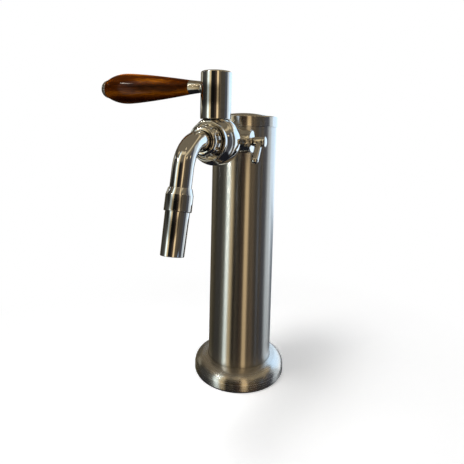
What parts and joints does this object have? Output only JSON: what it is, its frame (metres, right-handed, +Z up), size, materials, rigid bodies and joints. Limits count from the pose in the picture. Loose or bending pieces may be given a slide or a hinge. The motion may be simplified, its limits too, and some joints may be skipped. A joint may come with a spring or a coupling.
{
  "type": "beer tower dispenser",
  "caption": "Slim brushed steel beer column on a round flange, with a polished ball tap, wooden side handle, flow compensator lever and bent spout.",
  "frame": {"origin": "middle of the underside of the base gasket, on the counter, on the column's axis", "axes": "+Z up along the column, -Y the way the tap and spout point, +X the side of the flow compensator's lever, -X the side that the closed handle points to"},
  "size_m": [0.1931, 0.2327, 0.3539],
  "materials": {
    "brushed_steel": "brushed stainless steel, fine grain round the column",
    "polished_steel": "mirror polished",
    "plain_steel": "plain turned stainless steel",
    "varnished_wood": "turned reddish brown hardwood under glossy varnish",
    "rubber": "matte black",
    "white_polymer": "turned white polymer",
    "grey_polymer": "moulded dark grey polymer"
  },
  "bodies": {
    "tower": {"base_gasket": "rubber", "base_plate": "plain_steel", "base_flange": "brushed_steel", "fixing_nut_1": "plain_steel", "fixing_nut_2": "plain_steel", "fixing_nut_3": "plain_steel", "column_tube": "brushed_steel", "line_coupler": "grey_polymer", "shank_rosette": "polished_steel", "saddle_washer": "plain_steel", "shank": "plain_steel", "shank_nut": "plain_steel", "tail_seal": "rubber", "tail_nut": "plain_steel", "beer_line": "plain_steel", "inlet_seal": "rubber", "compensator_body": "polished_steel", "compensator_bonnet": "polished_steel", "spindle_seal": "rubber", "valve_body": "polished_steel", "rear_seat": "white_polymer", "front_seat": "white_polymer", "stem_seal": "rubber", "stem_gland": "plain_steel", "stop_pin": "plain_steel", "spout_seal": "rubber", "spout": "polished_steel", "spanner_ring": "polished_steel", "nozzle_collar": "polished_steel", "nozzle": "polished_steel", "nozzle_seal": "rubber", "nozzle_screen": "plain_steel"},
    "cap": {"column_cap": "brushed_steel", "cap_liner": "grey_polymer"},
    "handle": {"valve_ball": "polished_steel", "valve_stem": "plain_steel", "stem_barrel": "polished_steel", "barrel_screw": "plain_steel", "handle_rod": "plain_steel", "handle_ferrule": "polished_steel", "handle_grip": "varnished_wood", "handle_end_cap": "polished_steel"},
    "lever": {"compensator_spindle": "plain_steel", "compensator_lever": "polished_steel", "lever_screw": "polished_steel"},
    "cone": {"compensator_cone": "white_polymer"}
  },
  "joints": [
    {"name": "handle_turn", "type": "hinge", "parent": "tower", "child": "handle", "pos_m": [0, -0.0862, 0.2835], "axis": [0, 0, 1], "range_deg": [0, 90]},
    {"name": "compensator_turn", "type": "hinge", "parent": "tower", "child": "lever", "pos_m": [0, -0.0518, 0.2835], "axis": [1, 0, 0], "range_deg": [-50, 40]},
    {"name": "cone_slide", "type": "slide", "parent": "tower", "child": "cone", "axis": [0, 1, 0], "range_m": [-0.0018, 0.0015]},
    {"name": "cap_lift", "type": "slide", "parent": "tower", "child": "cap", "axis": [0, 0, 1], "range_m": [0, 0.03]}
  ],
  "couplings": [
    {"joint": "cone_slide", "follows": "compensator_turn", "m_per_rad": 0.00197}
  ]
}
